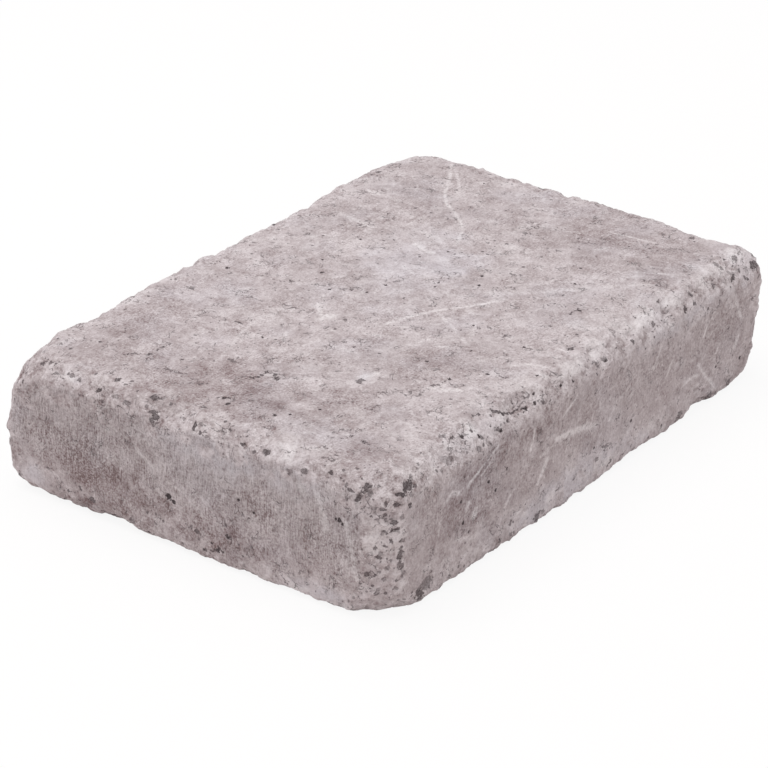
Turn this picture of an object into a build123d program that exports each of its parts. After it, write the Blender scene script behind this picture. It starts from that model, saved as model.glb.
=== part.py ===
from build123d import *
import os
import random

# Tumbled concrete paver, cast in one piece. Lengths are in millimetres.
#
# The block is pressed in a steel mould, so its six faces are flat and square to
# each other. Tumbling then batters it: each arris is worn back by a depth that
# wanders along its length and grows towards the corners, and the hardest knocks
# leave shallow scooped spalls.
#
# Frame: X runs along the length, Y across the width, Z up. The origin is the
# middle of the bed face, which lies on Z = 0.

# Moulded block
LENGTH = 267.0
WIDTH = 178.0
THICKNESS = 57.0

# How far each arris is worn back along its two faces, away from the corners.
# An arris is named after the two faces that meet there: front is -Y, back +Y,
# left -X, right +X, bed -Z and top +Z.
ARRIS_WEAR = {
    "top_front": 10.0,
    "top_back": 8.0,
    "top_left": 7.0,
    "top_right": 7.5,
    "bed_front": 3.4,
    "bed_back": 7.0,
    "bed_left": 4.5,
    "bed_right": 6.5,
    "front_left": 13.0,
    "front_right": 4.2,
    "back_left": 4.0,
    "back_right": 12.0,
}
WANDER = 1.3
WANDER_PITCH = 38.0
CORNER_WEAR = 3.5
CORNER_REACH = 30.0

# Cross-section of a worn arris: the depth of its middle below the two faces, as
# a share of the wear, and the stub by which the cutter stands out of each face
ROUND_OVER = 0.37
STUB = 0.6
STUB_SLOPE = 3.0
END_STUB = 6.0

# Spalls on the arrises: arris, place along it from its middle, radius of the
# scoop and how deep it bites below the worn arris
SPALLS = [
    ("top_left", -10.0, 24.0, 2.6),
    ("top_left", -52.0, 20.0, 1.6),
    ("top_front", -46.0, 30.0, 2.0),
    ("top_front", 60.0, 26.0, 1.8),
    ("top_back", 120.0, 40.0, 2.5),
    ("top_back", -2.0, 22.0, 1.0),
    ("top_right", -62.0, 50.0, 2.6),
    ("bed_left", 36.0, 30.0, 2.2),
    ("bed_front", -86.0, 24.0, 2.6),
    ("bed_front", -42.0, 16.0, 1.2),
    ("bed_back", -20.0, 26.0, 2.2),
    ("bed_right", -30.0, 24.0, 2.0),
    ("front_right", -10.0, 22.0, 1.8),
]

# Knocked corners: the three faces that meet there, the radius of the scoop and
# how deep it bites below the sharp corner
CORNER_KNOCKS = [
    ("top_back_left", 60.0, 12.5),
    ("top_front_left", 60.0, 11.0),
    ("bed_front_left", 100.0, 12.5),
    ("bed_back_left", 36.0, 7.5),
    ("top_back_right", 60.0, 12.0),
    ("top_front_right", 30.0, 1.5),
    ("bed_front_right", 50.0, 9.5),
    ("bed_back_right", 46.0, 8.5),
]

NORMALS = {
    "left": Vector(-1, 0, 0),
    "right": Vector(1, 0, 0),
    "front": Vector(0, -1, 0),
    "back": Vector(0, 1, 0),
    "bed": Vector(0, 0, -1),
    "top": Vector(0, 0, 1),
}


def faces_of(name):
    """Outward normals of the faces that an arris or a corner is named after."""
    return [NORMALS[face] for face in name.split("_")]


def sharp_point(normals):
    """The sharp corner of the unworn block, or the middle of its sharp arris."""
    reach = sum(normals, Vector(0, 0, 0))
    return Vector(
        reach.X * LENGTH / 2,
        reach.Y * WIDTH / 2,
        (1 + reach.Z) * THICKNESS / 2,
    )


def arris_length(direction):
    return abs(direction.X * LENGTH + direction.Y * WIDTH + direction.Z * THICKNESS)


def wear_section(wear):
    """What tumbling takes off a sharp arris at the origin, with the block in the
    first quadrant: the ground outside a shallow arc from face to face."""
    foot = wear + STUB * STUB_SLOPE
    middle = ROUND_OVER * wear
    arc = ThreePointArc((foot, -STUB), (middle, middle), (-STUB, foot))
    outside = Polyline((-STUB, foot), (-STUB, -STUB), (foot, -STUB))
    return make_face([arc, outside])


def worn_arris(name):
    """The wear along one arris, lofted through sections of wandering depth."""
    first, second = faces_of(name)
    direction = first.cross(second)
    length = arris_length(direction)
    middle = sharp_point([first, second])
    stations = max(4, round(length / WANDER_PITCH) + 1)
    half_run = length / 2 + END_STUB
    chance = random.Random(name)

    sections = []
    for i in range(stations):
        along = half_run * (2 * i / (stations - 1) - 1)
        from_end = max(0.0, length / 2 - abs(along))
        nearness = max(0.0, 1 - from_end / CORNER_REACH)
        wear = (
            ARRIS_WEAR[name]
            + chance.uniform(-WANDER, WANDER)
            + CORNER_WEAR * nearness**2
        )
        place = Plane(
            origin=middle + direction * along,
            x_dir=first * -1,
            z_dir=direction,
        )
        sections.append(place * wear_section(wear))
    return loft(sections)


def scoop(at, outward, radius, bite):
    """A ball that bites into the block at a point, coming in along outward."""
    centre = at + outward * (radius - bite)
    return Pos(centre.X, centre.Y, centre.Z) * Sphere(radius)


def spall(name, along, radius, bite):
    first, second = faces_of(name)
    outward = (first + second).normalized()
    worn_depth = ROUND_OVER * ARRIS_WEAR[name] * 2**0.5
    on_arris = sharp_point([first, second]) + first.cross(second) * along
    return scoop(on_arris - outward * worn_depth, outward, radius, bite)


def corner_knock(name, radius, bite):
    normals = faces_of(name)
    outward = sum(normals, Vector(0, 0, 0)).normalized()
    return scoop(sharp_point(normals), outward, radius, bite)


def paver():
    block = Box(
        LENGTH,
        WIDTH,
        THICKNESS,
        align=(Align.CENTER, Align.CENTER, Align.MIN),
    )
    for name in ARRIS_WEAR:
        block -= worn_arris(name)
    for size in CORNER_KNOCKS:
        block -= corner_knock(*size)
    for size in SPALLS:
        block -= spall(*size)
    return block


os.makedirs("parts", exist_ok=True)
export_step(paver(), "parts/paver.step")
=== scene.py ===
import math

import bmesh
import bpy
from mathutils import Matrix, Vector, noise
from mathutils.bvhtree import BVHTree
from mathutils.kdtree import KDTree


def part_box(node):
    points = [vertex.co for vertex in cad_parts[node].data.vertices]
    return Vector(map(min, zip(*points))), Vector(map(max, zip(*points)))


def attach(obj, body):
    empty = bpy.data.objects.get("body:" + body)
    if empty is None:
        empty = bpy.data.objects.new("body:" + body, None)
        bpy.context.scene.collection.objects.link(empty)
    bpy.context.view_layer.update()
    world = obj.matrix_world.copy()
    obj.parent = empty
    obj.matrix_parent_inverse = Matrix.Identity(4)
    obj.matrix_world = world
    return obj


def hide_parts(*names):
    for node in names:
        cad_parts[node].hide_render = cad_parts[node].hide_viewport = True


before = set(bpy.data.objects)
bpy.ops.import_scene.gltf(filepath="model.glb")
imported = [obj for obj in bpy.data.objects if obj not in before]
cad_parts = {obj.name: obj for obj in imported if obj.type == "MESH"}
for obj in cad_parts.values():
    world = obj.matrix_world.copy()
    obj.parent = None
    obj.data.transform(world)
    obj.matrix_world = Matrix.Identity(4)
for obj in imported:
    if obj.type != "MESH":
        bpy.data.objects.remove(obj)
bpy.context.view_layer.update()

bl_info = {
    "name": "Tumbled Concrete Paver",
    "version": (1, 0, 0),
    "blender": (4, 5, 0),
    "location": "View3D > Sidebar > Paver",
    "description": "Sculpts the battered skin of a tumbled concrete paver over its plain solid",
    "category": "Add Mesh",
}

# The block stands on the floor at the origin, with its length along X, its width
# along Y and Z up. Lengths with the unit in their name are in millimetres, and
# everything that Blender is given is in metres.
MM = 0.001
LOW_CORNER, HIGH_CORNER = (Vector(corner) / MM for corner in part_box("paver"))
MIDDLE = (LOW_CORNER + HIGH_CORNER) / 2

# A mark is placed in millimetres on one face or arris: its frame has an origin, an
# axis along it, an axis up it or across it, and the outward normal. On an arris the
# frame stands at the sharp line that the wear has taken away.
SLANT = 0.5 ** 0.5
LEFT = LOW_CORNER.x
FRONT = LOW_CORNER.y
TOP = HIGH_CORNER.z
FRAMES = {
    "top": ((0, 0, TOP), (1, 0, 0), (0, 1, 0), (0, 0, 1)),
    "end": ((LEFT, 0, 0), (0, 1, 0), (0, 0, 1), (-1, 0, 0)),
    "side": ((0, FRONT, 0), (1, 0, 0), (0, 0, 1), (0, -1, 0)),
    "top_left": ((LEFT, 0, TOP), (0, 1, 0), (SLANT, 0, SLANT), (-SLANT, 0, SLANT)),
    "top_front": ((0, FRONT, TOP), (1, 0, 0), (0, SLANT, SLANT), (0, -SLANT, SLANT)),
    "front_left": ((LEFT, FRONT, 0), (SLANT, -SLANT, 0), (0, 0, 1), (-SLANT, -SLANT, 0)),
    "front_right": ((-LEFT, FRONT, 0), (SLANT, SLANT, 0), (0, 0, 1), (SLANT, -SLANT, 0)),
    "back_left": ((LEFT, -FRONT, 0), (-SLANT, -SLANT, 0), (0, 0, 1), (-SLANT, SLANT, 0)),
    "top_back": ((0, -FRONT, TOP), (-1, 0, 0), (0, -SLANT, SLANT), (0, SLANT, SLANT)),
    "top_right": ((-LEFT, 0, TOP), (0, 1, 0), (-SLANT, 0, SLANT), (SLANT, 0, SLANT)),
    "bed_front": ((0, FRONT, 0), (1, 0, 0), (0, -SLANT, SLANT), (0, -SLANT, -SLANT)),
    "bed_left": ((LEFT, 0, 0), (0, 1, 0), (-SLANT, 0, SLANT), (-SLANT, 0, -SLANT)),
}
FRAMES = {name: [Vector(axis) for axis in axes] for name, axes in FRAMES.items()}

# Stones laid bare by the wear: frame, place, length, width, turn in degrees, how
# dark the stone is, and how far it stands out of the ground, where that is unusual
STONE_RISE = -0.2
STONES = [
    ("top_left", 74.3, 2.1, 2.4, 1.8, 32, 0.8),
    ("top_left", 57.9, 1.2, 2.4, 1.7, 176, 0.6),
    ("top_left", 55, 0.6, 2, 1.5, 16, 0.8),
    ("top_left", 44.9, -0.6, 4.6, 1.5, 156, 1, -0.3),
    ("top_left", 36, -1, 5.4, 1.7, 1, 0.45),
    ("top_left", 29.3, -1.8, 1.9, 1.3, 169, 0.6),
    ("top", -127.4, 28.9, 2, 1.3, 8, 0.7),
    ("top", -127.4, 20.4, 5, 2.5, 106, 0.9, -0.3),
    ("top_left", 17.9, -1, 4.8, 1.2, 151, 0.8, -0.3),
    ("top_left", 16.7, -2.5, 3, 2.3, 174, 0.9, -0.3),
    ("top_left", 5.9, 0.6, 1.7, 1.4, 173, 0.5),
    ("top_left", -1.3, -1.3, 4.6, 1.8, 83, 0.95, -0.3),
    ("top_left", -4.6, -2.8, 1.7, 1.5, 55, 0.8),
    ("top_left", -7.7, -3.3, 1.9, 1.5, 174, 0.5),
    ("top_left", -23.8, -1.5, 2.9, 1.3, 177, 0.9, -0.3),
    ("top_left", -26.4, -2.3, 2.5, 1.9, 178, 0.3),
    ("end", -45.8, 50.5, 3.3, 1.3, 3, 0.45),
    ("top_left", -62.2, -0.1, 1.9, 1.5, 13, 0.85),
    ("top_left", -77.6, -0.3, 3.4, 2.5, 161, 0.9, -0.3),
    ("top_left", -79.2, -1.8, 2.5, 1.7, 55, 0.6),
    ("top_left", -72.5, -3.7, 3.5, 1.2, 1, 0.8),
    ("end", -75.9, 49.6, 4.2, 1.7, 117, 0.9, -0.3),
    ("top_front", -118.4, -2.2, 5.5, 3.8, 8, 1, -0.4),
    ("top_front", -123.5, -3.1, 4.8, 1.6, 147, 1, -0.3),
    ("front_left", 0.6, 47.8, 1.9, 1.4, 158, 0.75),
    ("front_left", 4.6, 47, 3.1, 1.6, 169, 0.9),
    ("side", -119.6, 45.2, 3, 1.8, 125, 0.9, -0.3),
    ("front_left", -0.5, 45.5, 2.9, 1.5, 174, 0.9),
    ("front_left", 0.5, 43.1, 1.8, 1.6, 149, 0.8),
    ("front_left", 0.7, 41.1, 1.6, 1.3, 164, 0.6),
    ("front_left", 4, 39.8, 2.7, 1.5, 6, 0.8),
    ("front_left", 4.4, 36.8, 3.2, 1.5, 13, 0.9, -0.3),
    ("front_left", 2.9, 32.7, 1.9, 1.5, 100, 0.8),
    ("front_left", -1.5, 25.9, 2.7, 1.6, 149, 0.8, -0.3),
    ("front_left", 3, 24.7, 1.6, 1.4, 108, 0.6),
    ("front_left", 6.7, 26.2, 4.4, 2.4, 81, 0.85, -0.3),
    ("front_left", 6.4, 21.9, 3.4, 2.8, 108, 0.7, -0.3),
    ("front_left", 8.1, 17.9, 3.3, 1.7, 76, 0.6),
    ("front_left", 2, 21.3, 1.9, 1.6, 108, 0.5),
    ("front_left", -2.5, 41.5, 1.7, 1.3, 170, 0.45),
    ("front_left", -3.6, 45.9, 1.6, 1.3, 20, 0.4),
    ("front_left", 6.6, 41.7, 2.1, 1.3, 95, 0.45),
    ("front_left", 7.6, 31.7, 1.9, 1.4, 96, 0.5),
    ("front_left", -0.2, 35.5, 1.5, 1.3, 144, 0.4),
    ("front_left", 0.7, 16.8, 1.8, 1.5, 160, 0.5),
    ("front_left", 5.3, 12.7, 1.6, 1.5, 136, 0.5),
    ("front_left", -4, 19.1, 1.6, 1.3, 163, 0.4),
    ("top_front", -92.2, -2.3, 6.2, 4.6, 179, 0.5, 0.1),
    ("side", -107.1, 7.1, 9.7, 5, 7, 0.6, -0.5),
    ("side", -111.1, 5.2, 4.6, 2.7, 141, 0.85, -0.3),
    ("side", -34.5, 3.5, 4.4, 3.6, 20, 0.8, 0.6),
    ("side", -52.5, 4, 2.2, 2, 0, 0.6, 0.4),
    ("side", 70.5, 4.5, 3.8, 3.4, 0, 0.7, 0.6),
    ("side", 94.5, 4, 4.4, 2.6, 20, 0.8, 0.5),
    ("side", 109.5, 4, 4.4, 2.6, 20, 0.7, 0.5),
    ("top_front", -71, -2, 2.2, 1.8, 0, 0.8),
    ("top_front", -60.5, -3, 2.2, 3, 20, 0.8),
    ("top_front", 12, -2.5, 2.8, 2.2, 0, 0.7),
    ("top_front", 49, -1.5, 2.4, 1.8, 30, 0.7),
    ("top_front", 71.5, -3.5, 3.2, 2.4, 20, 0.9),
    ("top_front", 78, -3.5, 2.4, 1.8, 0, 0.8),
    ("top_front", 95.5, -1.5, 2.6, 1.8, 30, 0.7),
    ("top_front", 110.5, -3.5, 5.4, 2.2, 20, 0.95, -0.3),
    ("top_front", 128, -3.5, 4.4, 4.6, 60, 0.9),
    ("top", 121.5, -60.5, 3.2, 2.6, 20, 0.7),
    ("top", 4, 81.5, 5, 3.6, 0, 0.4, 0.1),
    ("top", -44.5, 70, 3.6, 2.2, 120, 0.5),
    ("top", -70, -31, 4.8, 3.4, 30, 0.8, -0.1),
    ("end", 46.5, 7.5, 3.4, 2.2, 0, 0.8, 0.3),
    ("end", 27, 5.5, 2.8, 2.2, 0, 0.6, 0.3),
    ("end", -65.1, 13.8, 2, 1.3, 144, 0.6),
]

# Places where the wear bares many small stones: frame, place, radius and the
# share of the stones that are bared
BARED = [
    ("front_left", 5, 24, 20, 0.32),
    ("front_left", 4, 46, 14, 0.2),
    ("top_front", 118, -2, 20, 0.35),
    ("top_front", -60, 0, 30, 0.2),
    ("side", -106, 6, 12, 0.35),
    ("bed_left", 0, 0, 60, 0.15),
]

# Blow holes and picks: frame, radius, depth and the places. Their hollows are painted dark as
# well, as painted shade
PITS = [
    ("top", 0.9, 0.6, [(-21, 70), (-45, 69), (-48, -56)]),
    ("top", 0.8, 0.5, [(-112, -23), (-109, -61), (-1, 38), (-88, -6), (-104, 66)]),
    ("top", 0.8, 0.5, [(28, -18), (33, -62), (36, -14), (-112, 0), (-115, -4)]),
    ("top", 0.7, 0.4, [(-41, -41), (-8, -63), (-25, -80), (-36, -65), (-97, 32)]),
    ("top", 0.6, 0.4, [(-15, 43), (-12, 26), (-7, 19), (-5, 13), (5, 11), (-58, 35)]),
    ("top", 0.6, 0.4, [(-63, 20), (-98, -33), (-48, -12), (-116, -4), (-108, -27)]),
    ("top", 0.6, 0.4, [(115, 38), (43, 34), (40, 37), (47, 10), (56, -1), (16, -5)]),
    ("top", 0.6, 0.4, [(53, -47), (67, -41), (41, -49), (55, -4), (20, -4), (-4, -52)]),
    ("top", 0.6, 0.4, [(28, -61), (-4, -37), (-23, -49), (9, 45), (35, 45)]),
    ("top_front", 0.8, 0.5, [(-36, -2), (-41, -2), (-54, 1), (-60, -4), (-72, -1)]),
    ("top_front", 0.7, 0.4, [(12, -3), (-34, 1), (-11, -3), (-18, -2), (-54, -2), (-79, 2)]),
    ("end", 0.9, 0.6, [(-68, 38), (-18, 14), (-14, 7)]),
    ("end", 0.6, 0.4, [(-69.5, 37), (-66.5, 38), (-23, 31), (-30, 28), (-7, 5), (-11, 9)]),
    ("end", 1.4, 0.8, [(9.5, 21.5)]),
    ("end", 0.9, 0.6, [(7, 20)]),
    ("side", 0.8, 0.5, [(-64, 27.5), (-69, 33), (-85, 23), (32, 17.5), (118, 12)]),
    ("side", 0.6, 0.4, [(-57, 33.5), (-81, 17.5), (5, 16.5), (-87, 32.5), (98, 15.5)]),
]

# Short crooked cracks in the skin: frame, points, width and how dark they are
CRACKS = [
    ("top", [(-93, 2), (-91, 1), (-89, 1), (-86, 1)], 0.5, 1),
    ("top", [(-86, 1), (-85, -2), (-88, -6)], 0.5, 0.9),
    ("top", [(-114, 2), (-113, 1), (-112, -1), (-112, -4)], 0.5, 0.9),
    ("top", [(-18, 47), (-17, 44), (-15, 42)], 0.4, 0.7),
    ("top", [(-37, 55), (-37, 49), (-37, 40)], 0.4, 0.5),
    ("top", [(-9, 23), (-8, 19)], 0.5, 0.5),
    ("top", [(-58, 37), (-58, 33)], 0.4, 0.7),
    ("top", [(-85, 20), (-86, 17), (-87, 14)], 0.4, 0.6),
    ("top", [(-86, 17), (-82, 17)], 0.4, 0.6),
    ("top", [(-108, -60), (-110, -64)], 0.4, 0.6),
    ("top", [(-114, -48), (-111, -53)], 0.4, 0.6),
    ("top", [(-108, 52), (-105, 50), (-103, 48)], 0.4, 0.8),
    ("top", [(-102, 45), (-98, 44), (-92, 45)], 0.4, 0.8),
    ("top", [(-107, 33), (-107, 28), (-106, 22)], 0.4, 0.6),
    ("top", [(-110, 16), (-109, 14), (-107, 13)], 0.5, 0.8),
    ("top", [(-57, -54), (-55, -56), (-51, -56)], 0.5, 0.8),
    ("top", [(-32, -66), (-35, -70), (-33, -73)], 0.4, 0.6),
    ("top", [(-9, -77), (-8, -80)], 0.4, 0.5),
    ("top", [(29, -61), (39, -60)], 0.4, 0.7),
    ("top", [(-3, -51), (-3, -54)], 0.4, 0.6),
    ("top_left", [(74, 3), (70, 4), (67, 5)], 0.4, 0.7),
    ("top_front", [(-58, 5), (-57, 3), (-54, 1), (-49, 0), (-41, -2)], 0.5, 0.9),
    ("top_front", [(-41, 4), (-38, 2), (-36, 2)], 0.4, 0.6),
    ("top_front", [(-59, -2), (-52, -2)], 0.4, 0.6),
    ("end", [(-10, 5), (-14, 8), (-16, 7)], 0.5, 0.8),
    ("end", [(-17, 14), (-20, 14)], 0.4, 0.7),
    ("side", [(19, 23), (23, 23)], 0.4, 0.6),
]

# Pale veins and scrapes: face, the points that they run through, width and
# how strongly they show
VEINS = [
    ("top", [(124, 61), (111, 53), (97, 46), (87, 38), (81, 30), (74, 22)], 1.2, 0.9),
    ("top", [(74, 22), (68, 17), (61, 14), (54, 11)], 1.2, 0.8),
    ("top", [(123, 60), (113, 50), (98, 39)], 1.1, 0.6),
    ("top", [(45, 24), (43, 19), (42, 15)], 2.4, 0.9),
    ("top", [(24, 16), (21, 9)], 1.1, 0.7),
    ("top", [(58, 34), (54, 19)], 2.8, 0.5),
    ("top", [(78, 72), (77, 56)], 1.8, 0.6),
    ("top", [(51, 67), (48, 48)], 2, 0.6),
    ("top", [(-24, -10), (-13, -13), (-2, -18), (9, -26), (20, -32)], 1.3, 0.9),
    ("top", [(-2, -18), (-10, -31), (-20, -45)], 1.2, 0.6),
    ("top", [(24, -25), (42, -45), (62, -62), (70, -70)], 2.6, 0.5),
    ("top", [(86, -36), (91, -39)], 1.2, 0.6),
    ("top", [(94, -16), (97, -23)], 1.2, 0.6),
    ("top", [(80, 0), (95, -3)], 1.1, 0.6),
    ("top", [(77, -59), (86, -75)], 1.1, 0.7),
    ("top", [(105, -31), (107, -51)], 1.1, 0.7),
    ("top", [(-26, 21), (-33, 15)], 1.5, 1.2),
    ("top", [(-36, 12), (-31, 11)], 3, 1.1),
    ("top", [(-36, -9), (-34, -14)], 1.3, 0.8),
    ("top", [(-52, -6), (-52, -17)], 2.4, 0.5),
    ("top", [(-96, 20), (-86, 22), (-61, 30), (-46, 32)], 1.1, 0.5),
    ("top", [(-67, -30), (-62, -32)], 2.6, 0.9),
    ("top", [(-75, -28), (-72, -29)], 1.5, 0.6),
    ("top", [(-25, -68), (-19, -73), (-17, -80)], 1.2, 0.8),
    ("top", [(-59, -55), (-57, -60), (-54, -64)], 2.4, 0.9),
    ("top", [(-28, -37), (-26, -40)], 1.3, 0.7),
    ("top", [(-29, -29), (-25, -31)], 1.5, 0.6),
    ("top", [(-1, -74), (-2, -83)], 1.3, 0.7),
    ("end", [(-58, 46), (-60, 41), (-62, 33)], 2.2, 1),
    ("end", [(-50, 46), (-54, 44)], 2, 0.8),
    ("end", [(-71, 38), (-74, 28), (-76, 16)], 1.8, 0.8),
    ("end", [(24, 36), (15, 30)], 1.4, 0.8),
    ("end", [(10, 27), (2, 26)], 1.4, 0.5),
    ("end", [(-1, 24), (-8, 18)], 1.7, 0.5),
    ("end", [(-21, 43), (-29, 41)], 1.3, 0.4),
    ("end", [(47, 50), (41, 45)], 1.6, 0.5),
    ("end", [(34, 14), (28, 12)], 1.6, 0.5),
    ("side", [(-63, 46), (-84, 37)], 1, 1),
    ("side", [(-66, 42), (-74, 38)], 0.9, 0.6),
    ("side", [(-96, 37), (-93, 39), (-89, 37)], 1.1, 1.2),
    ("side", [(-39, 42), (-41, 35)], 1.2, 0.9),
    ("side", [(-29, 26), (-35, 18)], 1.5, 1),
    ("side", [(-10, 45), (-19, 40)], 1, 0.9),
    ("side", [(-23, 32), (-9, 30), (5, 27)], 1.8, 1.1),
    ("side", [(-26, 30), (-34, 29)], 1.2, 0.6),
    ("side", [(-54, 21), (-58, 17)], 1, 0.9),
    ("side", [(-89, 18), (-76, 13)], 1.5, 0.8),
    ("side", [(-77, 25), (-78, 23)], 1.8, 1.2),
    ("side", [(-82, 30), (-83, 28)], 1.4, 1.1),
    ("side", [(-100, 30), (-101, 25)], 1.2, 0.7),
    ("side", [(89, 39), (86, 34)], 1, 0.8),
    ("side", [(115, 23), (112, 19)], 1.7, 1),
    ("side", [(83, 22), (90, 14), (97, 7)], 1.4, 1),
    ("side", [(82, 18), (72, 18)], 1.5, 1),
    ("side", [(111, 40), (116, 31)], 1.3, 0.9),
    ("side", [(100, 26), (96, 20)], 1.4, 0.7),
    ("side", [(40, 6), (51, 8)], 1.2, 0.7),
    ("side", [(-16, 24), (-13, 31)], 1.1, 0.8),
    ("side", [(58, 27), (62, 32)], 1.1, 0.9),
    ("side", [(47, 34), (52, 42)], 1.1, 0.8),
    ("side", [(15, 24), (20, 31)], 1.2, 0.8),
]

# Where the worn ground stands out more than elsewhere, or less: frame, place along
# it, height up it, half length and how far, in millimetres
SWELLS = [
    ("bed_front", -117, 0, 9, -0.7),
    ("bed_front", -70, 0, 32, 0.9),
    ("bed_front", -49, 0, 6, 0.5),
    ("bed_front", -39, 0, 5, -0.5),
    ("bed_front", -22, 0, 26, 0.7),
    ("bed_front", 12, 0, 20, 0.7),
    ("bed_front", 76, 0, 26, -0.3),
    ("bed_left", -8, 0, 14, 0.9),
    ("bed_left", -33, 0, 9, 0.7),
    ("bed_left", -43, 0, 6, -0.5),
    ("bed_left", -64, 0, 18, -0.7),
    ("front_left", 0, 4, 9, 0.8),
    ("front_right", 0, 50, 16, 1.3),
    ("front_right", 0, 33, 10, 0.8),
    ("top_right", -75, 0, 10, -0.7),
    ("top_right", -29, 0, 18, -0.9),
    ("top_right", 30, 0, 8, 0.6),
    ("top_right", 51, 0, 9, 0.8),
    ("top_right", 61, 0, 6, -0.4),
    ("top_back", -31, 0, 6, 0.4),
    ("top_back", -14, 0, 14, 0.6),
    ("top_back", 8, 0, 11, -0.8),
    ("top_back", 62, 0, 22, 0.6),
    ("top_back", 104, 0, 20, 0.7),
    ("top_back", -108, 0, 12, 0.5),
    ("top_back", -84, 0, 9, -0.5),
    ("back_left", 0, 48, 12, 0.8),
    ("back_left", 0, 38, 8, -1.2),
    ("back_left", 0, 23, 8, 0.9),
]

# Soft darker and paler areas: face, place, half length, half height and strength,
# which is below nought where the area is paler. On the side they paint light and
# shade: the whole side darker than the top, partly painted shade, a painted shade
# in a strip under the top arris, and a painted pool of light from the floor along
# the bed
SHADES = [
    ("end", 42, 14, 40, 12, 1.1),
    ("end", 54, 25, 30, 14, 0.85),
    ("end", 82, 15, 5, 8, 1.2),
    ("end", -24, 11, 26, 9, 0.8),
    ("end", 6, 13, 34, 10, 0.45),
    ("end", -50, 20, 26, 15, 0.65),
    ("end", -35, 30, 14, 10, 0.3),
    ("end", -77, 24, 8, 13, 0.75),
    ("end", 76, 9, 11, 8, -1.3),
    ("end", -20, 46, 60, 8, -0.6),
    ("end", -14, 42, 26, 10, -0.4),
    ("bed_left", -57, 1, 17, 7, -1.8),
    # Darker over the whole side: partly painted shade
    ("side", 0, 26, 150, 22, 0.35),
    ("side", -86, 27, 26, 15, 0.8),
    ("side", 118, 12, 12, 10, 0.5),
    # Painted shade in a strip under the top front arris
    ("side", -72, 41, 42, 7, 0.8),
    ("side", -10, 43, 50, 6, 0.5),
    ("side", 92, 28, 40, 12, 0.35),
    # Painted light: paler along the bed, as light thrown up from the floor
    ("side", -10, 8, 62, 9, -1.3),
    ("side", 66, 47, 50, 5, -0.8),
    ("top_front", -77, 0, 24, 6, -1.1),
    ("top_front", 55, 1, 20, 6, -0.9),
    ("top_front", 9, 0, 20, 6, -0.5),
    ("top_front", 122, 0, 14, 9, -1.7),
    ("top_left", -46, 0, 16, 7, -0.6),
    ("top", 27, 13, 36, 26, -0.75),
    ("top", 52, 22, 22, 14, -0.2),
    ("top", 88, 48, 16, 16, 0.25),
    ("top", 118, 60, 14, 16, 0.3),
    ("top", 100, -32, 34, 44, 0.65),
    ("top", 45, -52, 40, 12, -0.3),
    ("top", 3, 47, 18, 12, 0.35),
    ("top", -40, -46, 28, 22, 0.85),
    ("top", -72, 66, 30, 14, 0.5),
    ("top", -106, 20, 26, 60, 0.85),
    ("top", -92, -37, 20, 16, 0.6),
    ("top", -67, -8, 14, 12, 0.5),
    ("top", -118, 66, 14, 12, 0.5),
    ("top", 86, -62, 24, 14, 0.5),
    ("top", -113, -12, 14, 14, 0.9),
    ("top", -112, -68, 18, 18, 0.9),
    ("top_left", 56, 0, 4, 2, -2),
    ("top", -66, -30, 6, 4, -0.8),
    ("top", 39, 0, 12, 10, -0.4),
    ("top", 75, -45, 14, 12, 0.5),
    ("top", -90, 22, 12, 12, 0.4),
    ("top", -99, -30, 14, 12, 0.5),
]

# Names of the values that the sculpting leaves on the mesh for the material
WORN = "worn"
STONE = "stone"
DARK = "dark"
PALE = "pale"
VEIN = "vein"
SHADE = "shade"
DRAG = "drag"
# Painted light and shade: the worn skin darker where it lies low and paler where it stands up
RELIEF_LIGHT_AND_SHADE = "relief_light_and_shade"
CALM = "calm"
VALUES = (WORN, STONE, DARK, PALE, VEIN, SHADE, DRAG, RELIEF_LIGHT_AND_SHADE, CALM)

# The grid: how deep a cut counts as wear, how far round a mark the grid is finest,
# and how often it is smoothed before and after it is split
CUT_SEEN = 0.04
MARK_REACH = 2.0
COARSE_ROUNDINGS = 2
FINE_ROUNDINGS = 7

# Settles the chance bends of stones, cracks and grains, so that they never differ
NOISE_SEED = 5

# Sizes in the sculpted ground, and the share of its cells where it has a chip
SWELL_SIZE = 26.0
LUMP_SIZE = 8.0
GRIT_SIZE = 2.5
HOLLOW_SIZE = 34.0
PATCH_SIZE = 9.0
BITE_SIZE = 6.5
BITE_DEPTH = 0.55
CHIP_SPACING = 7.0
CHIP_SHARE = 0.1
FACE_DEPTH = 1.5
SCRAPE_DEPTH = 0.06
CRACK_DEPTH = 0.25
GROOVE_DEPTH = 0.18

# The studio: lengths in metres
FLOOR_HALF = 4.0
FLOOR_COLOUR = (0.84, 0.79, 0.78)
FLOOR_GLOW = 1.015
FLOOR_SHARE_GLOWING = 0.88
LAMP_WIDTH = 1.2
LAMP_PLACE = (-0.15, 0.25, 1.3)


class PaverShape(bpy.types.PropertyGroup):
    grid: bpy.props.FloatProperty(
        name="Grid",
        description="Spacing of the mesh on the flat faces",
        default=0.0026, min=0.001, max=0.005, subtype="DISTANCE",
    )
    swell: bpy.props.FloatProperty(
        name="Swell",
        description="How far the worn arrises swell and sink over a hand's breadth",
        default=0.0005, subtype="DISTANCE",
    )
    fullness: bpy.props.FloatProperty(
        name="Fullness",
        description="How far the worn ground stands out of the plain solid's",
        default=0.0002, subtype="DISTANCE",
    )
    lumps: bpy.props.FloatProperty(
        name="Lumps",
        description="How far the worn arrises swell and sink over a fingertip",
        default=0.0006, subtype="DISTANCE",
    )
    grit: bpy.props.FloatProperty(
        name="Grit",
        description="How far grains stand out of the worn arrises",
        default=0.00032, subtype="DISTANCE",
    )
    chips: bpy.props.FloatProperty(
        name="Chips",
        description="Depth of the small chips along the worn arrises",
        default=0.0011, subtype="DISTANCE",
    )
    hollows: bpy.props.FloatProperty(
        name="Hollows",
        description="Depth of the slight hollows in the moulded faces",
        default=0.0002, subtype="DISTANCE",
    )


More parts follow.
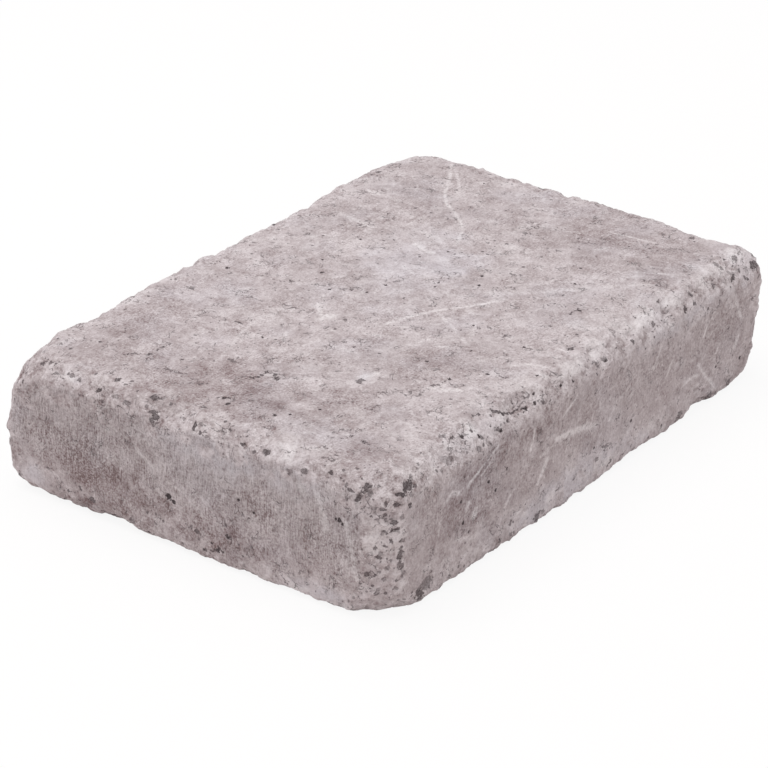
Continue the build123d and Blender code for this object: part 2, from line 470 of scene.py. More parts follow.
class PaverColours(bpy.types.PropertyGroup):
    skin_dark: bpy.props.FloatVectorProperty(
        name="Dark skin",
        description="Cement skin in its darker clouds",
        default=(0.195, 0.132, 0.131), subtype="COLOR",
    )
    skin_pale: bpy.props.FloatVectorProperty(
        name="Pale skin",
        description="Cement skin in its paler clouds",
        default=(0.658, 0.588, 0.600), subtype="COLOR",
    )
    bloom: bpy.props.FloatVectorProperty(
        name="Bloom",
        description="Lime bloom and crushed cement, in veins and along the arrises",
        default=(0.78, 0.72, 0.725), subtype="COLOR",
    )
    cast: bpy.props.FloatVectorProperty(
        name="Cast",
        description="Tint of the patches where salts have come to the surface",
        default=(0.91, 0.95, 1.0), subtype="COLOR",
    )
    stone: bpy.props.FloatVectorProperty(
        name="Dark stone",
        description="Aggregate laid bare by the wear, and the shade in pores",
        default=(0.10, 0.079, 0.082), subtype="COLOR",
    )


class PaverStage(bpy.types.PropertyGroup):
    lamp: bpy.props.FloatProperty(
        name="Lamp",
        description="Power of the soft lamp overhead",
        default=9.0, min=0.0, subtype="POWER",
    )
    daylight: bpy.props.FloatProperty(
        name="Daylight",
        description="Strength of the even light from all round",
        default=0.72, min=0.0,
    )
    azimuth: bpy.props.FloatProperty(
        name="Azimuth",
        description="Direction that the camera stands in, from -Y towards +X",
        default=math.radians(-55.16), subtype="ANGLE",
    )
    elevation: bpy.props.FloatProperty(
        name="Elevation",
        description="Height of the camera above the horizon",
        default=math.radians(26.51), subtype="ANGLE",
    )
    roll: bpy.props.FloatProperty(
        name="Roll",
        description="Tilt of the camera about its line of sight",
        default=math.radians(1.55), subtype="ANGLE",
    )
    distance: bpy.props.FloatProperty(
        name="Distance",
        description="From the camera to the middle of the paver",
        default=1.266, subtype="DISTANCE",
    )
    lens: bpy.props.FloatProperty(
        name="Lens",
        description="Focal length of the camera in millimetres, on a 36 mm sensor",
        default=149.7,
    )
    aim: bpy.props.FloatVectorProperty(
        name="Aim",
        description="How far the camera moves right and up from the paver's middle",
        size=2, default=(-0.00602, -0.00893), subtype="XYZ", unit="LENGTH",
    )


def smooth_step(low, high, value):
    """0 below low, 1 above high, and a smooth rise between."""
    t = min(1, max(0, (value - low) / (high - low)))
    return t * t * (3 - 2 * t)


def cloudy(p, size, octaves, shift=Vector((0, 0, 0))):
    """Noise about nought, with features of a size in millimetres."""
    return noise.fractal(p / size + shift, 1.0, 2.1, octaves)


def edge_gaps(p):
    """A point's two smallest depths below the block's faces, in millimetres."""
    gaps = [min(p[i] - LOW_CORNER[i], HIGH_CORNER[i] - p[i]) for i in range(3)]
    return sorted(gaps)[:2]


def object_from(bm, name):
    """A new object in the scene, with a mesh that is done."""
    mesh = bpy.data.meshes.new(name)
    bm.to_mesh(mesh)
    bm.free()
    piece = bpy.data.objects.new(name, mesh)
    bpy.context.scene.collection.objects.link(piece)
    return piece


def merged_copy(source, name):
    """A new object with a copy of the source's mesh, its loose triangles joined."""
    bm = bmesh.new()
    bm.from_mesh(source.data)
    bmesh.ops.remove_doubles(bm, verts=bm.verts, dist=0.001 * MM)
    return object_from(bm, name)


def remeshed(piece, grid):
    """Gives the piece an even grid of faces."""
    remesh = piece.modifiers.new("Grid", "REMESH")
    remesh.mode = "VOXEL"
    remesh.voxel_size = grid
    shown = piece.evaluated_get(bpy.context.evaluated_depsgraph_get())
    mesh = bpy.data.meshes.new_from_object(shown)
    piece.modifiers.remove(remesh)
    piece.data = mesh


def split_where(bm, wanted, cuts=1):
    """Divides the edges of the grid wherever both their ends are wanted."""
    chosen = {v for v in bm.verts if wanted(v.co / MM)}
    edges = [e for e in bm.edges if e.verts[0] in chosen and e.verts[1] in chosen]
    bmesh.ops.subdivide_edges(bm, edges=edges, cuts=cuts, use_grid_fill=True)
    large = [f for f in bm.faces if len(f.verts) > 4]
    bmesh.ops.triangulate(bm, faces=large)


def round_off(bm, rings, rounds):
    """Smooths the worn ground, and some rings of points beyond its border."""
    worn = {v for v in bm.verts if edge_gaps(v.co / MM)[0] > CUT_SEEN}
    for _ in range(rings):
        worn |= {e.other_vert(v) for v in worn for e in v.link_edges}
    verts = [v for v in bm.verts if v in worn]
    for _ in range(rounds):
        bmesh.ops.smooth_vert(
            bm,
            verts=verts,
            factor=0.5,
            use_axis_x=True,
            use_axis_y=True,
            use_axis_z=True,
        )


class Ground:
    """The smooth solid's surface, on which the marks are placed."""

    def __init__(self, piece):
        bm = bmesh.new()
        bm.from_mesh(piece.data)
        self.tree = BVHTree.FromBMesh(bm)
        bm.free()

    def spot(self, place, u, v):
        """The point under a place in a frame, in millimetres, and its normal."""
        origin, across, up, normal = FRAMES[place]
        reach = (HIGH_CORNER - LOW_CORNER).length
        start = origin + normal * reach + across * u + up * v
        hit, ground_normal, _, _ = self.tree.ray_cast(start * MM, -normal)
        if hit is None:
            raise RuntimeError(f"a mark at {u}, {v} on the {place} misses the block")
        if ground_normal.dot(normal) < 0:
            ground_normal = -ground_normal
        return hit / MM, ground_normal

    def nearest(self, point):
        return self.tree.find_nearest(point)[0]


class Mark:
    """An oval patch of the surface, with its own axes lying in the ground."""

    def __init__(self, ground, face, u, v, length, width, turn=0):
        self.centre, self.normal = ground.spot(face, u, v)
        _, across, up, _ = FRAMES[face]
        angle = math.radians(turn)
        along = across * math.cos(angle) + up * math.sin(angle)
        along -= self.normal * along.dot(self.normal)
        self.along = along.normalized()
        self.beside = self.normal.cross(self.along)
        self.half_length = length / 2
        self.half_width = width / 2
        self.reach = max(length, width) / 2

    def inside(self, p, rough=0):
        """0 at the middle of the oval and 1 at its ragged edge."""
        away = p - self.centre
        s = away.dot(self.along) / self.half_length
        t = away.dot(self.beside) / self.half_width
        ragged = noise.noise(p / self.reach * 1.6 + self.centre) * rough
        return math.hypot(s, t) + ragged


def distance_to_line(p, a, b):
    run = b - a
    t = min(1, max(0, (p - a).dot(run) / run.length_squared))
    return (p - a - run * t).length


class Sculpture:
    """The grid over the block, with the height and the values of each point."""

    def __init__(self, piece, shape):
        self.piece = piece
        self.shape = shape
        self.ground = Ground(piece)
        self.stones = [Mark(self.ground, *row[:6]) for row in STONES]
        self.pits = [
            (Mark(self.ground, place, u, v, 2 * radius, 2 * radius), depth)
            for place, radius, depth, spots in PITS
            for u, v in spots
        ]
        self.veins = [self.line_on_ground(row) for row in VEINS]
        self.cracks = [self.line_on_ground(row) for row in CRACKS]

    def line_on_ground(self, row):
        place, points = row[:2]
        return [self.ground.spot(place, u, v)[0] for u, v in points]

    def grid(self):
        """Makes the grid: even on the faces, finer on the arrises and at marks."""
        remeshed(self.piece, self.shape.grid)
        marked = self.marked_points()
        bm = bmesh.new()
        bm.from_mesh(self.piece.data)
        for v in bm.verts:
            v.co = self.ground.nearest(v.co)
        round_off(bm, 0, COARSE_ROUNDINGS)
        split_where(bm, lambda p: is_battered(p) or marked.find(p)[2] < 2 * MARK_REACH, 2)
        for v in bm.verts:
            v.co = self.ground.nearest(v.co)
        split_where(bm, lambda p: marked.find(p)[2] < MARK_REACH)
        round_off(bm, 3, FINE_ROUNDINGS)
        bm.normal_update()
        bm.to_mesh(self.piece.data)
        bm.free()

    def marked_points(self):
        """A search tree of points along every stone, pit, vein and crack."""
        points = []
        for mark in self.stones + [mark for mark, _ in self.pits]:
            spread = max(0, mark.half_length - 1)
            points += [mark.centre + mark.along * spread * k for k in (-1, 0, 1)]
        for line in self.veins + self.cracks:
            for a, b in zip(line, line[1:]):
                steps = max(1, round((b - a).length))
                points += [a.lerp(b, i / steps) for i in range(steps + 1)]
        tree = KDTree(len(points))
        for i, point in enumerate(points):
            tree.insert(point, i)
        tree.balance()
        return tree

    def carve(self):
        """Works out the height and the values, and moves the grid's points."""
        mesh = self.piece.data
        self.points = [v.co / MM for v in mesh.vertices]
        normals = [v.normal.copy() for v in mesh.vertices]
        count = len(self.points)
        self.near = KDTree(count)
        for i, p in enumerate(self.points):
            self.near.insert(p, i)
        self.near.balance()

        self.height = [0.0] * count
        self.values = {name: [0.0] * count for name in VALUES}
        self.bared = [0.1] * count
        for place, u, v, radius, share in BARED:
            centre, _ = self.ground.spot(place, u, v)
            for _, i, distance in self.near.find_range(centre, radius):
                part = share * (1 - smooth_step(0.5, 1, distance / radius))
                self.bared[i] = max(self.bared[i], part)
        for i, p in enumerate(self.points):
            self.wear(i, p)
        for line, (_, _, width, strength) in zip(self.veins, VEINS):
            self.draw_vein(line, width, strength)
        for mark, row in zip(self.stones, STONES):
            rise = row[7] if len(row) > 7 else STONE_RISE
            self.bare_stone(mark, row[6], rise)
        for mark, depth in self.pits:
            self.sink_pit(mark, depth)
        for line, (_, _, width, darkness) in zip(self.cracks, CRACKS):
            self.draw_crack(line, width, darkness)
        for place, u, v, half_length, rise in SWELLS:
            self.swell(place, u, v, half_length, rise)
        for face, u, v, half_length, half_height, strength in SHADES:
            mark = Mark(self.ground, face, u, v, 2 * half_length, 2 * half_height)
            self.cast_shade(mark, strength)

        for i, v in enumerate(mesh.vertices):
            moved = self.points[i] + normals[i] * self.height[i]
            for axis in range(3):
                moved[axis] = min(HIGH_CORNER[axis], max(LOW_CORNER[axis], moved[axis]))
            v.co = moved * MM
        for name, values in self.values.items():
            attribute = mesh.attributes.new(name, "FLOAT", "POINT")
            attribute.data.foreach_set("value", values)

    def wear(self, i, p):
        """The moulded faces with their slight hollows, and the battered arrises."""
        shape = self.shape
        values = self.values
        cut, reach = edge_gaps(p)
        bite = border_bite(p, reach)
        worn = max(smooth_step(0.05, 0.9, cut), smooth_step(0, 0.3, bite))

        swell = cloudy(p, SWELL_SIZE, 2) * shape.swell
        lumps = cloudy(p, LUMP_SIZE, 3) * shape.lumps
        fine = cloudy(p, GRIT_SIZE, 2)
        pebble, darkness, socket = pebbles(p, self.bared[i])
        hollow = 0.5 + 0.5 * noise.noise(p / HOLLOW_SIZE)
        height = -hollow * (1 - worn) * shape.hollows
        height += worn * (shape.fullness + swell + lumps - chip(p) * shape.chips)
        height += worn * (fine + 1.1 * max(0, pebble) - 1.3 * socket) * shape.grit
        self.height[i] = height / MM - bite

        values[WORN][i] = worn
        values[STONE][i] = pebble * worn - 0.6 * (1 - worn)
        values[DARK][i] = darkness
        # Painted shade and light: the worn skin is darker where it lies low, in the sockets of
        # lost stones and between grains and lumps, and paler where they stand up
        values[RELIEF_LIGHT_AND_SHADE][i] = worn * (socket - 1.2 * fine - 0.2 * lumps / shape.lumps)
        rim = 1 - smooth_step(6, 24, reach)
        patches = cloudy(p, PATCH_SIZE, 3, MIDDLE)
        on_top = p.z > HIGH_CORNER.z - FACE_DEPTH
        limed = 0.6 if on_top else 0.15 + 0.5 * worn
        limed *= 1 - 0.85 * under_top_arris(p)
        values[PALE][i] = rim * smooth_step(-0.15, 0.55, patches) * limed
        on_end = abs(p.x - MIDDLE.x) > HIGH_CORNER.x - FACE_DEPTH
        on_side = abs(p.y - MIDDLE.y) > HIGH_CORNER.y - FACE_DEPTH
        if on_end or on_side:
            values[DRAG][i] = (1 - worn) * (1 if on_end else 0.4)
            values[DRAG][i] *= 0.4 + 0.6 * smooth_step(14, 32, p.z)
            values[CALM][i] = 0 if on_end else 1 - worn

    def draw_vein(self, line, width, strength):
        """A scraped or limed line: pale, and a hair's breadth deep."""
        reach = width * 2
        for a, b in zip(line, line[1:]):
            for _, i, _ in self.near.find_range((a + b) / 2, (b - a).length / 2 + reach):
                p = self.points[i]
                wander = noise.noise(p / 3) * width * 0.35
                away = distance_to_line(p, a, b) + wander
                show = 1 - smooth_step(0, 1.3, away / width)
                show *= strength * (0.85 + 0.5 * noise.noise(p / 4))
                if show > 0:
                    vein = self.values[VEIN]
                    vein[i] = max(vein[i], show)
                    self.height[i] -= SCRAPE_DEPTH * show

    def draw_crack(self, line, width, darkness):
        """A ragged row of holes in the skin."""
        stone, dark = self.values[STONE], self.values[DARK]
        for a, b in zip(line, line[1:]):
            for _, i, _ in self.near.find_range((a + b) / 2, (b - a).length / 2 + 2):
                p = self.points[i]
                bent = p + noise.noise_vector(p / 1.6) * 1.3
                away = distance_to_line(bent, a, b) / width
                show = 1 - 0.8 * away + 1.2 * noise.noise(p / 0.9)
                self.height[i] -= CRACK_DEPTH * darkness * smooth_step(0, 0.8, show)
                if show > stone[i]:
                    stone[i] = show
                    dark[i] = darkness

    def swell(self, place, u, v, half_length, rise):
        centre, _ = self.ground.spot(place, u, v)
        for _, i, distance in self.near.find_range(centre, half_length):
            part = 1 - smooth_step(0.2, 1, distance / half_length)
            self.height[i] += rise * part * self.values[WORN][i]

    def bare_stone(self, mark, darkness, rise):
        """A stone cut or broken off by the wear, with a groove round it."""
        stone, dark = self.values[STONE], self.values[DARK]
        for _, i, _ in self.near.find_range(mark.centre, mark.reach * 1.9):
            p = self.points[i]
            away = mark.inside(p + noise.noise_vector(p / 1.3) * 0.35, rough=0.6)
            face = 1 - smooth_step(0.82, 1.08, away)
            groove = smooth_step(0.7, 1, away) * (1 - smooth_step(1, 1.4, away))
            self.height[i] += rise * face - GROOVE_DEPTH * groove
            if 1 - away > stone[i] or away < 1.2:
                stone[i] = 1 - away
                dark[i] = darkness
            self.values[PALE][i] *= 1 - 0.8 * face

    def sink_pit(self, mark, depth):
        stone, dark = self.values[STONE], self.values[DARK]
        for _, i, _ in self.near.find_range(mark.centre, mark.reach * 2.2):
            away = mark.inside(self.points[i], rough=0.8)
            bowl = 1 - smooth_step(0.3, 1.2, away)
            self.height[i] -= depth * bowl
            # Painted shade: the pit's hollow takes the dark stone colour, darker than any stone
            if 1 - away > stone[i]:
                stone[i] = 1 - away
                dark[i] = 1.15

    def cast_shade(self, mark, strength):
        # Darkens or pales a soft patch and takes lime away or adds it; on the side some patches
        # are painted shade and painted light
        for _, i, _ in self.near.find_range(mark.centre, mark.reach * 1.5):
            p = self.points[i]
            away = mark.inside(p) + 0.5 * cloudy(p, PATCH_SIZE, 3)
            part = strength * (1 - smooth_step(0.2, 1.2, away))
            self.values[SHADE][i] += part
            self.values[PALE][i] *= 1 - min(0.8, max(-0.8, 0.8 * part))


def is_battered(p):
    cut, reach = edge_gaps(p)
    return cut > CUT_SEEN or border_bite(p, reach) > 0


def border_bite(p, reach):
    """Ragged bites, in millimetres, that the wear takes out of a face's border."""
    border = 1 - smooth_step(8, 17, reach)
    if border == 0:
        return 0
    ragged = cloudy(p, BITE_SIZE, 3) + 0.35 * border - 0.3
    return BITE_DEPTH * smooth_step(0, 0.3, ragged) * border


def under_top_arris(p):
    """1 on the lower half of the wear round the top, where hardly any lime stays."""
    depth = HIGH_CORNER.z - p.z
    return smooth_step(3, 5.5, depth) * (1 - smooth_step(12, 18, depth))


def chip(p):
    """Scattered scoops a few millimetres across, 1 at their deepest."""
    distances, centres = noise.voronoi(p / CHIP_SPACING)
    if noise.cell(centres[0] * 7.3) > CHIP_SHARE:
        return 0
    return smooth_step(0, 0.6, 0.6 - distances[0])


def pebbles(p, share):
    """The stones in the worn ground: how deep inside one a point is, from 1 at its
    middle through 0 at its edge, how dark it is, and how deep in a lost one's socket."""
    bend = noise.noise_vector(p / 1.7) * 0.5
    inside, darkness, socket = -1, 0, 0
    for spacing, least, most in ((2.4, 0.6, 1.1), (4.6, 0.9, 2)):
        distances, centres = noise.voronoi((p + bend) / spacing)
        centre = centres[0]
        chance = 0.5 + 0.5 * noise.cell(centre * 5.1)
        radius = least + (most - least) * (0.5 + 0.5 * noise.cell(centre * 8.7))
        deep = 1 - distances[0] * spacing / radius
        if chance < share:
            if deep > inside:
                inside = deep
                darkness = 0.45 + 0.25 * (1 + noise.cell(centre * 3.3))
        elif chance > 0.86:
            socket = max(socket, smooth_step(0, 0.7, deep))
        elif chance < share + 0.25:
            socket -= 0.6 * smooth_step(0, 0.7, deep)
    return inside, darkness, socket


def drawing_on(holder):
    """Clears the nodes of a material or a world, to draw its new ones."""
    holder.use_nodes = True
    holder.node_tree.nodes.clear()
    return Drawing(holder.node_tree)


class Drawing:
    """A node tree being drawn up, with short words for placing and joining nodes."""

    def __init__(self, tree):
        self.tree = tree

    def feed(self, socket, value):
        if isinstance(value, bpy.types.NodeSocket):
            self.tree.links.new(value, socket)
        else:
            socket.default_value = value

    def add(self, kind, sockets=None, **settings):
        node = self.tree.nodes.new(kind)
        for name, value in settings.items():
            setattr(node, name, value)
        for name, value in (sockets or {}).items():
            self.feed(node.inputs[name], value)
        return node

    def maths(self, operation, a, b=0, c=0):
        node = self.add("ShaderNodeMath", operation=operation)
        for socket, value in zip(node.inputs, (a, b, c)):
            self.feed(socket, value)
        return node.outputs[0]

    def times(self, a, b):
        return self.maths("MULTIPLY", a, b)

    def plus(self, base, value, share):
        """A value, and a share of another on top of it."""
        return self.maths("MULTIPLY_ADD", value, share, base)

    def larger(self, a, b, share):
        """The larger of one value and a share of another."""
        return self.maths("MAXIMUM", a, self.times(b, share))

    def scaled(self, vector, by):
        node = self.add("ShaderNodeVectorMath", operation="MULTIPLY")
        self.feed(node.inputs[0], vector)
        self.feed(node.inputs[1], by)
        return node.outputs[0]

    def spread(self, value, low, high, to_low=0, to_high=1):
        """Stretches a value from low and high to new limits, and holds it there."""
        sockets = {
            "Value": value,
            "From Min": low,
            "From Max": high,
            "To Min": to_low,
            "To Max": to_high,
        }
        return self.add("ShaderNodeMapRange", sockets).outputs[0]

    def cloud(self, place, size, detail=3, low=0.3, high=0.7, warp=0):
        """Noise with features of a size in millimetres, spread from 0 to 1."""
        sockets = {
            "Vector": place,
            "Scale": 1 / size,
            "Detail": detail,
            "Distortion": warp,
        }
        node = self.add("ShaderNodeTexNoise", sockets)
        return self.spread(node.outputs[0], low, high)

    def blend(self, factor, a, b, mode="MIX"):
        node = self.add("ShaderNodeMix", data_type="RGBA", blend_type=mode)
        self.feed(node.inputs[0], factor)
        self.feed(node.inputs[6], a)
        self.feed(node.inputs[7], b)
        return node.outputs[2]

    def attribute(self, name):
        return self.add("ShaderNodeAttribute", attribute_name=name).outputs["Fac"]


def scattered_grains_group():
    """Grains of uneven size, scattered through the concrete and cut by its surface."""
    group = bpy.data.node_groups.new("Scattered grains", "ShaderNodeTree")
    face = group.interface
    face.new_socket("Place", in_out="INPUT", socket_type="NodeSocketVector")
    for name, value in (("Spacing", 4), ("Radius", 0.5), ("Share", 0.2)):
        socket = face.new_socket(name, in_out="INPUT", socket_type="NodeSocketFloat")
        socket.default_value = value
    face.new_socket("Grains", in_out="OUTPUT", socket_type="NodeSocketFloat")

    d = Drawing(group)
    given = d.add("NodeGroupInput").outputs
    warp = d.add("ShaderNodeTexNoise", {"Vector": given["Place"], "Scale": 0.9})
    bend = d.add("ShaderNodeVectorMath", operation="MULTIPLY_ADD")
    d.feed(bend.inputs[0], warp.outputs["Color"])
    d.feed(bend.inputs[1], (1.1, 1.1, 1.1))
    d.feed(bend.inputs[2], given["Place"])
    cells = d.add(
        "ShaderNodeTexVoronoi",
        {"Vector": bend.outputs[0], "Scale": d.maths("DIVIDE", 1, given["Spacing"])},
    )
    chance = d.add("ShaderNodeSeparateColor", {"Color": cells.outputs["Color"]}).outputs
    away = d.times(cells.outputs["Distance"], given["Spacing"])
    size = d.times(given["Radius"], d.spread(chance[1], 0, 1, 0.5, 1.4))
    inside = d.spread(d.maths("DIVIDE", away, size), 1.15, 0.8)
    picked = d.maths("LESS_THAN", chance[0], given["Share"])
    grains = d.times(inside, picked)
    out = d.add("NodeGroupOutput")
    d.feed(out.inputs[0], grains)
    return group


def grains(d, group, place, spacing, radius, share):
    node = d.add("ShaderNodeGroup", node_tree=group)
    d.feed(node.inputs["Place"], place)
    d.feed(node.inputs["Spacing"], spacing)
    d.feed(node.inputs["Radius"], radius)
    d.feed(node.inputs["Share"], share)
    return node.outputs[0]


def opaque(colour):
    return (*colour, 1)


def concrete_material(colours):
    material = bpy.data.materials.new("Tumbled concrete")
    d = drawing_on(material)
    group = scattered_grains_group()
    place = d.scaled(d.add("ShaderNodeTexCoord").outputs["Object"], (1 / MM,) * 3)
    attributes = map(d.attribute, VALUES)
    worn, stone, darkness, pale, vein, shade, drag, relief_light_and_shade, calm = attributes

    # Cement skin: broad clouds, mottling, grain and speckle
    broad = d.cloud(place, 34, 3)
    mottle = d.cloud(place, 6, 5, warp=0.6)
    grain = d.cloud(place, 1.5, 2)
    speckle = d.cloud(place, 0.75, 1)
    coarse = d.cloud(place, 19, 3, 0.36, 0.64)
    graininess = d.plus(d.spread(coarse, 0, 1, 0.34, 0.78), drag, 0.2)
    dark_drag = d.times(shade, drag)
    graininess = d.maths("ADD", graininess, d.spread(dark_drag, 0, 1.5, 0, 0.4))
    lively = d.spread(calm, 0, 1, 1, 0.7)
    graininess = d.times(graininess, lively)
    fine = d.plus(d.plus(-0.5, speckle, 0.55), grain, 0.45)
    tone = d.plus(0.44, broad, 0.22)
    mottling = d.times(d.maths("SUBTRACT", mottle, 0.5), 0.46)
    tone = d.plus(tone, mottling, lively)
    tone = d.plus(tone, fine, graininess)
    # Soft darker and paler patches; on the side these include painted shade and painted light
    tone = d.plus(tone, shade, -0.29)
    # Painted shade in the low places of the worn ground, and painted light on its raised grains
    # and lumps
    tone = d.plus(tone, relief_light_and_shade, -0.35)

    # Vertical lines that the mould drags in the faces as the block leaves it
    lines = d.scaled(place, (1.2, 1.2, 0.05))
    dragged = d.spread(d.add("ShaderNodeTexNoise", {"Vector": lines}).outputs[0], 0.3, 0.7)
    drag_tone = d.times(d.maths("SUBTRACT", dragged, 0.5), drag)
    tone = d.plus(tone, drag_tone, 0.95)
    depth = d.spread(tone, -0.2, 1)
    colour = d.blend(depth, opaque(colours.skin_dark), opaque(colours.skin_pale))

    # Lime bloom in clouds, veins and along the arrises, and pale crushed flecks
    bloom = d.cloud(place, 11, 6, 0.52, 0.72, warp=1.2)
    flecks = grains(d, group, place, 1.5, 0.42, d.plus(0.06, worn, 0.2))
    flakes = d.cloud(place, 4.5, 4, 0.56, 0.66, warp=0.9)
    limed = d.maths("MAXIMUM", d.times(bloom, 0.5), pale)
    limed = d.larger(limed, flakes, 0.45)
    limed = d.times(limed, d.spread(shade, 0, 1.2, 1, 0.3))
    ragged = d.cloud(place, 0.8, 2)
    scraped = d.plus(d.maths("SUBTRACT", vein, 0.25), ragged, 0.5)
    scraped = d.times(d.spread(scraped, 0, 0.85), 0.9)
    limed = d.maths("MAXIMUM", limed, scraped)
    limed = d.times(limed, d.spread(grain, 0, 0.8, 0.45, 1))
    limed = d.larger(limed, flecks, 0.5)
    colour = d.blend(limed, colour, opaque(colours.bloom))

    # A lilac cast in patches, which the cement's salts leave
    salts = d.times(d.cloud(place, 26, 2, 0.5, 0.75), 0.4)
    salts = d.maths("MAXIMUM", salts, d.spread(shade, 0, -1, 0, 0.55))
    salts = d.times(salts, d.spread(worn, 0, 1, 1, 0.3))
    colour = d.blend(salts, colour, opaque(colours.cast), "MULTIPLY")

    # Short crooked cracks and pores in the skin, in loose clusters
    crooked = d.add(
        "ShaderNodeTexNoise",
        {"Vector": place, "Scale": 1 / 4.5, "Detail": 4, "Distortion": 0.8},
    ).outputs[0]
    line = d.spread(d.maths("ABSOLUTE", d.maths("SUBTRACT", crooked, 0.5)), 0.016, 0.004)
    patches = d.cloud(place, 8, 2, 0.54, 0.62)
    cracks = d.times(line, patches)
    clusters = d.cloud(place, 15, 3, 0.48, 0.66)
    busy = d.larger(clusters, worn, 0.8)
    busy = d.larger(busy, dark_drag, 0.9)
    pores = grains(d, group, place, 1.35, 0.33, d.spread(busy, 0, 1, 0.05, 0.3))
    picks = grains(d, group, place, 3.6, 0.6, d.spread(busy, 0, 1, 0.03, 0.3))
    picks = d.times(picks, d.spread(drag, 0, 0.6, 1, 0.3))

    # Stones, and the painted shade in pits, with edges too ragged for the mesh
    edge = d.plus(d.maths("SUBTRACT", stone, 0.3), ragged, 0.6)
    bared = d.times(d.spread(edge, -0.02, 0.12), darkness)
    bared = d.times(bared, d.spread(speckle, 0, 1, 1.1, 0.75))
    dark = d.times(cracks, 0.75)
    dark = d.larger(dark, pores, 0.6)
    dark = d.larger(dark, picks, 0.75)
    dark = d.maths("MAXIMUM", dark, bared)
    colour = d.blend(dark, colour, opaque(colours.stone))

    # Relief too fine for the mesh
    relief = d.plus(d.times(speckle, 0.35), grain, 0.5)
    relief = d.plus(relief, mottle, 0.4)
    relief = d.plus(relief, drag_tone, 0.6)
    relief = d.plus(relief, dark, -0.9)
    bump = d.add("ShaderNodeBump", {"Strength": 0.8, "Distance": 0.5 * MM, "Height": relief})

    shader = d.add("ShaderNodeBsdfPrincipled", {"Base Color": colour})
    shader.inputs["Specular IOR Level"].default_value = 0.25
    d.feed(shader.inputs["Roughness"], d.spread(tone, 0, 1, 0.95, 0.82))
    d.feed(shader.inputs["Normal"], bump.outputs[0])
    out = d.add("ShaderNodeOutputMaterial")
    d.feed(out.inputs["Surface"], shader.outputs[0])
    return material


def seen_directly(d):
    """1 for what the camera, a reflection or a clear view meets first."""
    path = d.add("ShaderNodeLightPath").outputs
    seen = d.maths("MAXIMUM", path["Is Camera Ray"], path["Is Glossy Ray"])
    return d.maths("MAXIMUM", seen, path["Is Transmission Ray"])


def floor_material():
    """White to the eye, but still taking the paver's shadow."""
    material = bpy.data.materials.new("White floor")
    d = drawing_on(material)
    matt = d.add("ShaderNodeBsdfDiffuse", {"Color": opaque(FLOOR_COLOUR)})
    white = d.add("ShaderNodeEmission", {"Color": (1, 1, 1, 1), "Strength": FLOOR_GLOW})
    mix = d.add("ShaderNodeMixShader")
    d.feed(mix.inputs[0], d.times(seen_directly(d), FLOOR_SHARE_GLOWING))
    d.feed(mix.inputs[1], matt.outputs[0])
    d.feed(mix.inputs[2], white.outputs[0])
    out = d.add("ShaderNodeOutputMaterial")
    d.feed(out.inputs["Surface"], mix.outputs[0])
    return material


def make_floor():
    bm = bmesh.new()
    bmesh.ops.create_grid(bm, x_segments=1, y_segments=1, size=FLOOR_HALF)
    floor = object_from(bm, "floor")
    floor.data.materials.append(floor_material())


def make_daylight(strength):
    world = bpy.context.scene.world or bpy.data.worlds.new("Studio")
    bpy.context.scene.world = world
    d = drawing_on(world)
    level = d.spread(seen_directly(d), 0, 1, strength, 1)
    background = d.add("ShaderNodeBackground", {"Color": (1, 1, 1, 1), "Strength": level})
    out = d.add("ShaderNodeOutputWorld")
    d.feed(out.inputs["Surface"], background.outputs[0])


def make_lamp(power):
    data = bpy.data.lights.new("Overhead lamp", "AREA")
    data.shape = "DISK"
    data.size = LAMP_WIDTH
    data.energy = power
    lamp = bpy.data.objects.new("Overhead lamp", data)
    lamp.location = LAMP_PLACE
    aim = Vector((0, 0, 0)) - lamp.location
    lamp.rotation_euler = aim.to_track_quat("-Z", "Y").to_euler()
    bpy.context.scene.collection.objects.link(lamp)


def make_camera(stage):
    data = bpy.data.cameras.new("Camera")
    data.sensor_width = 36
    data.lens = stage.lens
    camera = bpy.data.objects.new("Camera", data)
    flat = math.cos(stage.elevation)
    back = Vector((
        math.sin(stage.azimuth) * flat,
        -math.cos(stage.azimuth) * flat,
        math.sin(stage.elevation),
    ))
    right = Vector((0, 0, 1)).cross(back).normalized()
    turn = Matrix.Rotation(stage.roll, 3, back)
    right = turn @ right
    up = back.cross(right)
    across, rise = stage.aim[0], stage.aim[1]
    at = MIDDLE * MM + right * across + up * rise + back * stage.distance
    axes = Matrix((right, up, back)).transposed().to_4x4()
    camera.matrix_world = Matrix.Translation(at) @ axes
    bpy.context.scene.collection.objects.link(camera)
    bpy.context.scene.camera = camera


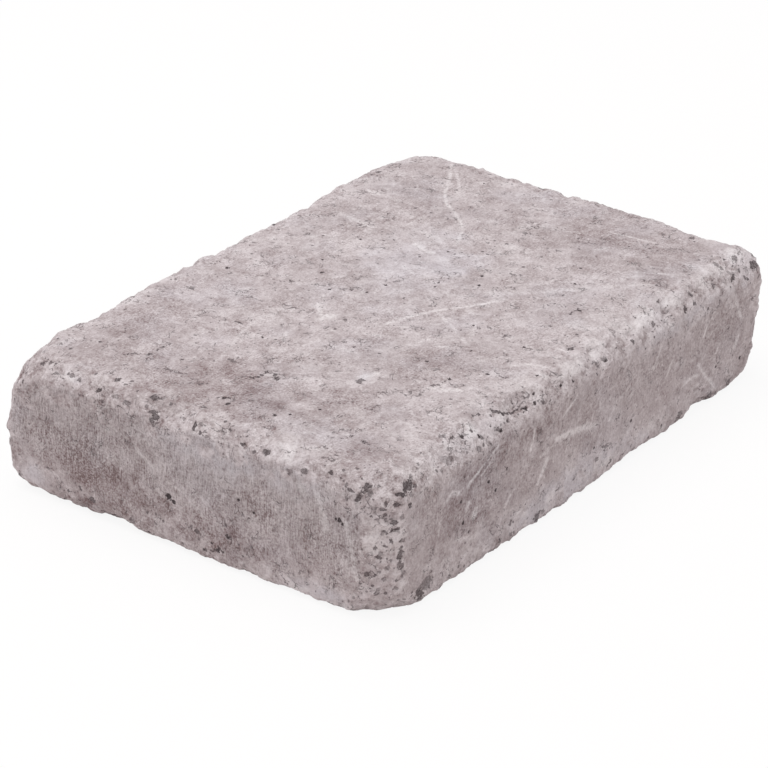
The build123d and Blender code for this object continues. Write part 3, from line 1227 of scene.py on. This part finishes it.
class PAVER_OT_sculpt(bpy.types.Operator):
    """Sculpt the battered concrete over the plain solid"""

    bl_idname = "paver.sculpt"
    bl_label = "Sculpt the paver"

    def execute(self, context):
        noise.seed_set(NOISE_SEED)
        piece = merged_copy(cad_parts["paver"], "battered_paver")
        sculpture = Sculpture(piece, context.scene.paver_shape)
        sculpture.grid()
        sculpture.carve()
        piece.data.shade_smooth()
        piece.data.materials.clear()
        piece.data.materials.append(concrete_material(context.scene.paver_colours))
        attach(piece, "root")
        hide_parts("paver")
        return {"FINISHED"}


class PAVER_OT_stage(bpy.types.Operator):
    """Set the floor, the lights and the camera"""

    bl_idname = "paver.stage"
    bl_label = "Set the stage"

    def execute(self, context):
        stage = context.scene.paver_stage
        make_floor()
        make_daylight(stage.daylight)
        make_lamp(stage.lamp)
        make_camera(stage)
        context.scene.view_settings.view_transform = "Standard"
        return {"FINISHED"}


class PAVER_PT_panel(bpy.types.Panel):
    """Sizes, colours and steps of the paver"""

    bl_label = "Tumbled Paver"
    bl_idname = "PAVER_PT_panel"
    bl_space_type = "VIEW_3D"
    bl_region_type = "UI"
    bl_category = "Paver"

    def draw(self, context):
        scene = context.scene
        for title, group, operator in (
            ("Shape", scene.paver_shape, "paver.sculpt"),
            ("Colours", scene.paver_colours, None),
            ("Stage", scene.paver_stage, "paver.stage"),
        ):
            box = self.layout.box()
            box.label(text=title)
            for name in group.__annotations__:
                box.prop(group, name)
            if operator:
                box.operator(operator)


SETTINGS = (PaverShape, PaverColours, PaverStage)
CLASSES = (*SETTINGS, PAVER_OT_sculpt, PAVER_OT_stage, PAVER_PT_panel)


def register():
    for each in CLASSES:
        bpy.utils.register_class(each)
    scene = bpy.types.Scene
    scene.paver_shape = bpy.props.PointerProperty(type=PaverShape)
    scene.paver_colours = bpy.props.PointerProperty(type=PaverColours)
    scene.paver_stage = bpy.props.PointerProperty(type=PaverStage)


def unregister():
    for name in ("paver_shape", "paver_colours", "paver_stage"):
        delattr(bpy.types.Scene, name)
    for each in reversed(CLASSES):
        bpy.utils.unregister_class(each)


def main():
    register()
    bpy.ops.paver.sculpt()
    bpy.ops.paver.stage()


if __name__ == "__main__":
    main()
